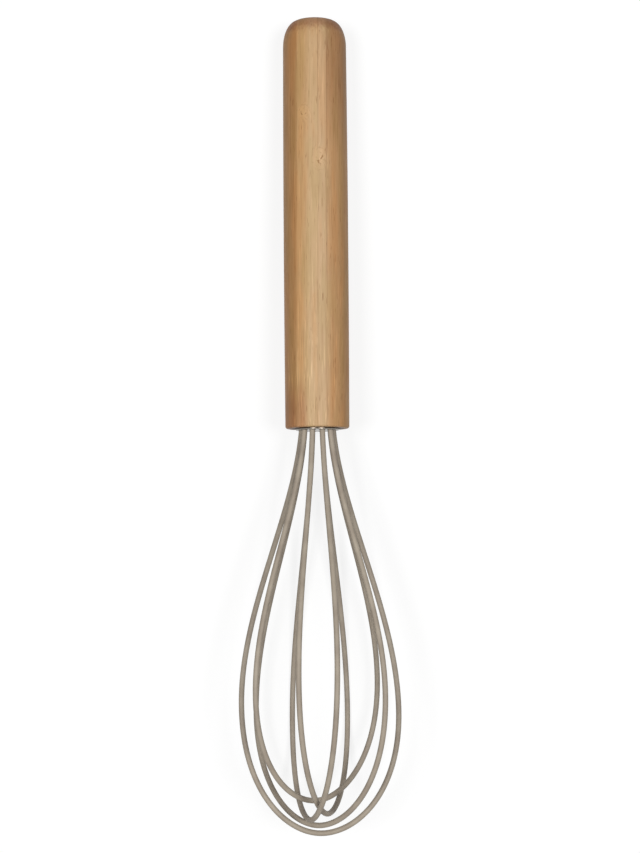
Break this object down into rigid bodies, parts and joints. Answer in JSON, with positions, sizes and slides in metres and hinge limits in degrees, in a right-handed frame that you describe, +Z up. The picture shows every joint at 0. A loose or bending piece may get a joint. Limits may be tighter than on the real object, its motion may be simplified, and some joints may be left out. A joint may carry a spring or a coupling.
{
  "type": "whisk",
  "caption": "Balloon whisk with a turned laminated bamboo handle, a steel end plate and nested silicone-sleeved wire loops, for beating and blending food by hand.",
  "frame": {"origin": "on the table that the whisk lies on, under the centre of its bounding box", "axes": "+Z up off the table, +Y along the whisk towards the domed end of the handle, +X across it"},
  "size_m": [0.0588, 0.2976, 0.0552],
  "materials": {
    "bamboo": "satin, laminated bamboo strips along the handle",
    "plate_steel": "brushed stainless steel",
    "spring_steel": "drawn stainless spring wire",
    "silicone": "matte taupe silicone",
    "resin": "cast resin"
  },
  "bodies": {
    "root": {"handle": "bamboo", "end_plate": "plate_steel", "resin_plug": "resin", "wire_core_1": "spring_steel", "wire_core_2": "spring_steel", "wire_core_3": "spring_steel", "wire_core_4": "spring_steel", "wire_core_5": "spring_steel", "silicone_sleeve_1": "silicone", "silicone_sleeve_2": "silicone", "silicone_sleeve_3": "silicone", "silicone_sleeve_4": "silicone", "silicone_sleeve_5": "silicone"}
  },
  "joints": []
}
